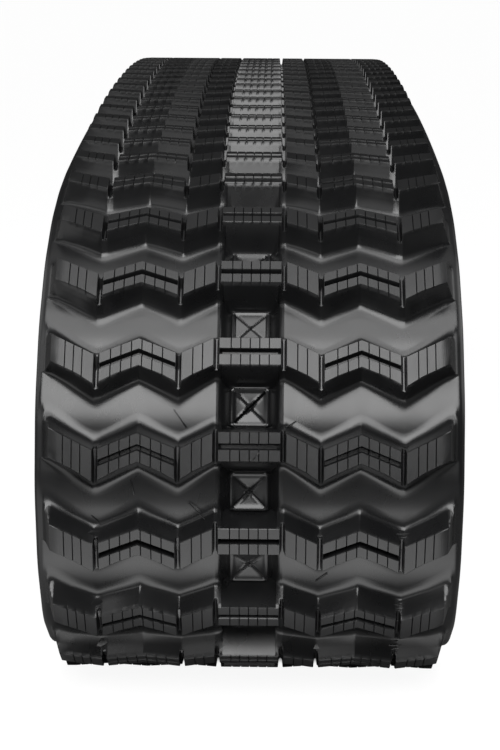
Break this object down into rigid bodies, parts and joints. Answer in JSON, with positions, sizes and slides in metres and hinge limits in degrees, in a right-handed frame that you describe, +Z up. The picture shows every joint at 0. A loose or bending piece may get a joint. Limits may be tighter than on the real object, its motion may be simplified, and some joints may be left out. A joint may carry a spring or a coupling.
{
  "type": "rubber track",
  "caption": "Endless rubber track loop with zigzag tread bars, forged steel guide cores, cord ribbons and inner roller paths, standing free as a flat oval.",
  "frame": {"origin": "on the ground, midway across the belt and midway between the noses of the two bends", "axes": "+X across the belt, Y along the loop with the pictured bend at -Y, +Z up"},
  "size_m": [0.45, 2.2196, 0.5987],
  "materials": {
    "rubber": "moulded black rubber, semi-gloss on the walls and floors, duller on the lug tops",
    "forged_steel": "dark forged steel with mill scale, thin rubber smear at the roots",
    "cord_steel": "brass-coated steel cord"
  },
  "bodies": {
    "bottom_run": {"bottom_run_rubber": "rubber", "bottom_run_core": "forged_steel", "bottom_run_cords": "cord_steel"},
    "front_link_1": {"front_link_1_rubber": "rubber", "front_link_1_core": "forged_steel", "front_link_1_cords": "cord_steel"},
    "front_link_2": {"front_link_2_rubber": "rubber", "front_link_2_core": "forged_steel", "front_link_2_cords": "cord_steel"},
    "front_link_3": {"front_link_3_rubber": "rubber", "front_link_3_core": "forged_steel", "front_link_3_cords": "cord_steel"},
    "front_link_4": {"front_link_4_rubber": "rubber", "front_link_4_core": "forged_steel", "front_link_4_cords": "cord_steel"},
    "front_link_5": {"front_link_5_rubber": "rubber", "front_link_5_core": "forged_steel", "front_link_5_cords": "cord_steel"},
    "front_link_6": {"front_link_6_rubber": "rubber", "front_link_6_core": "forged_steel", "front_link_6_cords": "cord_steel"},
    "front_link_7": {"front_link_7_rubber": "rubber", "front_link_7_core": "forged_steel", "front_link_7_cords": "cord_steel"},
    "front_link_8": {"front_link_8_rubber": "rubber", "front_link_8_core": "forged_steel", "front_link_8_cords": "cord_steel"},
    "top_run_front": {"top_run_front_rubber": "rubber", "top_run_front_core": "forged_steel", "top_run_front_cords": "cord_steel"},
    "rear_link_1": {"rear_link_1_rubber": "rubber", "rear_link_1_core": "forged_steel", "rear_link_1_cords": "cord_steel"},
    "rear_link_2": {"rear_link_2_rubber": "rubber", "rear_link_2_core": "forged_steel", "rear_link_2_cords": "cord_steel"},
    "rear_link_3": {"rear_link_3_rubber": "rubber", "rear_link_3_core": "forged_steel", "rear_link_3_cords": "cord_steel"},
    "rear_link_4": {"rear_link_4_rubber": "rubber", "rear_link_4_core": "forged_steel", "rear_link_4_cords": "cord_steel"},
    "rear_link_5": {"rear_link_5_rubber": "rubber", "rear_link_5_core": "forged_steel", "rear_link_5_cords": "cord_steel"},
    "rear_link_6": {"rear_link_6_rubber": "rubber", "rear_link_6_core": "forged_steel", "rear_link_6_cords": "cord_steel"},
    "rear_link_7": {"rear_link_7_rubber": "rubber", "rear_link_7_core": "forged_steel", "rear_link_7_cords": "cord_steel"},
    "rear_link_8": {"rear_link_8_rubber": "rubber", "rear_link_8_core": "forged_steel", "rear_link_8_cords": "cord_steel"},
    "top_run_rear": {"top_run_rear_rubber": "rubber", "top_run_rear_core": "forged_steel", "top_run_rear_cords": "cord_steel"}
  },
  "joints": [
    {"name": "front_web_1_flex", "type": "hinge", "parent": "bottom_run", "child": "front_link_1", "pos_m": [0, -0.85424, 0.042], "axis": [-1, 0, 0], "range_deg": [-2, 2]},
    {"name": "front_web_2_flex", "type": "hinge", "parent": "front_link_1", "child": "front_link_2", "pos_m": [0, -0.93866, 0.05841], "axis": [-1, 0, 0], "range_deg": [-2, 2]},
    {"name": "front_web_3_flex", "type": "hinge", "parent": "front_link_2", "child": "front_link_3", "pos_m": [0, -1.01079, 0.10525], "axis": [-1, 0, 0], "range_deg": [-2, 2]},
    {"name": "front_web_4_flex", "type": "hinge", "parent": "front_link_3", "child": "front_link_4", "pos_m": [0, -1.05762, 0.17738], "axis": [-1, 0, 0], "range_deg": [-3, 3]},
    {"name": "front_nose_flex", "type": "hinge", "parent": "front_link_4", "child": "front_link_5", "pos_m": [0, -1.07477, 0.26165], "axis": [-1, 0, 0], "range_deg": [-6, 6], "stiffness_Nm_per_rad": 2900, "springref_deg": -4.47},
    {"name": "front_web_6_flex", "type": "hinge", "parent": "front_link_5", "child": "front_link_6", "pos_m": [0, -1.05762, 0.34592], "axis": [-1, 0, 0], "range_deg": [-3, 3]},
    {"name": "front_web_7_flex", "type": "hinge", "parent": "front_link_6", "child": "front_link_7", "pos_m": [0, -1.01079, 0.41805], "axis": [-1, 0, 0], "range_deg": [-2, 2]},
    {"name": "front_web_8_flex", "type": "hinge", "parent": "front_link_7", "child": "front_link_8", "pos_m": [0, -0.94348, 0.47158], "axis": [-1, 0, 0], "range_deg": [-2, 2]},
    {"name": "front_web_9_flex", "type": "hinge", "parent": "front_link_8", "child": "top_run_front", "pos_m": [0, -0.86461, 0.50588], "axis": [-1, 0, 0], "range_deg": [-2, 2]},
    {"name": "rear_web_1_flex", "type": "hinge", "parent": "bottom_run", "child": "rear_link_1", "pos_m": [0, 0.8646, 0.05545], "axis": [1, 0, 0], "range_deg": [-2, 2]},
    {"name": "rear_web_2_flex", "type": "hinge", "parent": "rear_link_1", "child": "rear_link_2", "pos_m": [0, 0.94433, 0.08767], "axis": [1, 0, 0], "range_deg": [-2, 2]},
    {"name": "rear_web_3_flex", "type": "hinge", "parent": "rear_link_2", "child": "rear_link_3", "pos_m": [0, 1.01462, 0.13722], "axis": [1, 0, 0], "range_deg": [-2, 2]},
    {"name": "rear_web_4_flex", "type": "hinge", "parent": "rear_link_3", "child": "rear_link_4", "pos_m": [0, 1.05762, 0.2117], "axis": [1, 0, 0], "range_deg": [-3, 3]},
    {"name": "rear_nose_flex", "type": "hinge", "parent": "rear_link_4", "child": "rear_link_5", "pos_m": [0, 1.07477, 0.29597], "axis": [1, 0, 0], "range_deg": [-6, 6]},
    {"name": "rear_web_6_flex", "type": "hinge", "parent": "rear_link_5", "child": "rear_link_6", "pos_m": [0, 1.05762, 0.38025], "axis": [1, 0, 0], "range_deg": [-3, 3]},
    {"name": "rear_web_7_flex", "type": "hinge", "parent": "rear_link_6", "child": "rear_link_7", "pos_m": [0, 1.00587, 0.44893], "axis": [1, 0, 0], "range_deg": [-2, 2]},
    {"name": "rear_web_8_flex", "type": "hinge", "parent": "rear_link_7", "child": "rear_link_8", "pos_m": [0, 0.93311, 0.49477], "axis": [1, 0, 0], "range_deg": [-2, 2]},
    {"name": "rear_web_9_flex", "type": "hinge", "parent": "rear_link_8", "child": "top_run_rear", "pos_m": [0, 0.85044, 0.51848], "axis": [1, 0, 0], "range_deg": [-2, 2]}
  ],
  "couplings": [
    {"joint": "front_web_1_flex", "follows": "front_nose_flex", "ratio": -0.33333},
    {"joint": "front_web_2_flex", "follows": "front_nose_flex", "ratio": -0.33333},
    {"joint": "front_web_3_flex", "follows": "front_nose_flex", "ratio": -0.33333},
    {"joint": "front_web_4_flex", "follows": "front_nose_flex", "ratio": 0.5},
    {"joint": "front_web_6_flex", "follows": "front_nose_flex", "ratio": 0.5},
    {"joint": "front_web_7_flex", "follows": "front_nose_flex", "ratio": -0.33333},
    {"joint": "front_web_8_flex", "follows": "front_nose_flex", "ratio": -0.33333},
    {"joint": "front_web_9_flex", "follows": "front_nose_flex", "ratio": -0.33333},
    {"joint": "rear_web_1_flex", "follows": "front_nose_flex", "ratio": -0.33333},
    {"joint": "rear_web_2_flex", "follows": "front_nose_flex", "ratio": -0.33333},
    {"joint": "rear_web_3_flex", "follows": "front_nose_flex", "ratio": -0.33333},
    {"joint": "rear_web_4_flex", "follows": "front_nose_flex", "ratio": 0.5},
    {"joint": "rear_nose_flex", "follows": "front_nose_flex", "ratio": 1},
    {"joint": "rear_web_6_flex", "follows": "front_nose_flex", "ratio": 0.5},
    {"joint": "rear_web_7_flex", "follows": "front_nose_flex", "ratio": -0.33333},
    {"joint": "rear_web_8_flex", "follows": "front_nose_flex", "ratio": -0.33333},
    {"joint": "rear_web_9_flex", "follows": "front_nose_flex", "ratio": -0.33333}
  ]
}
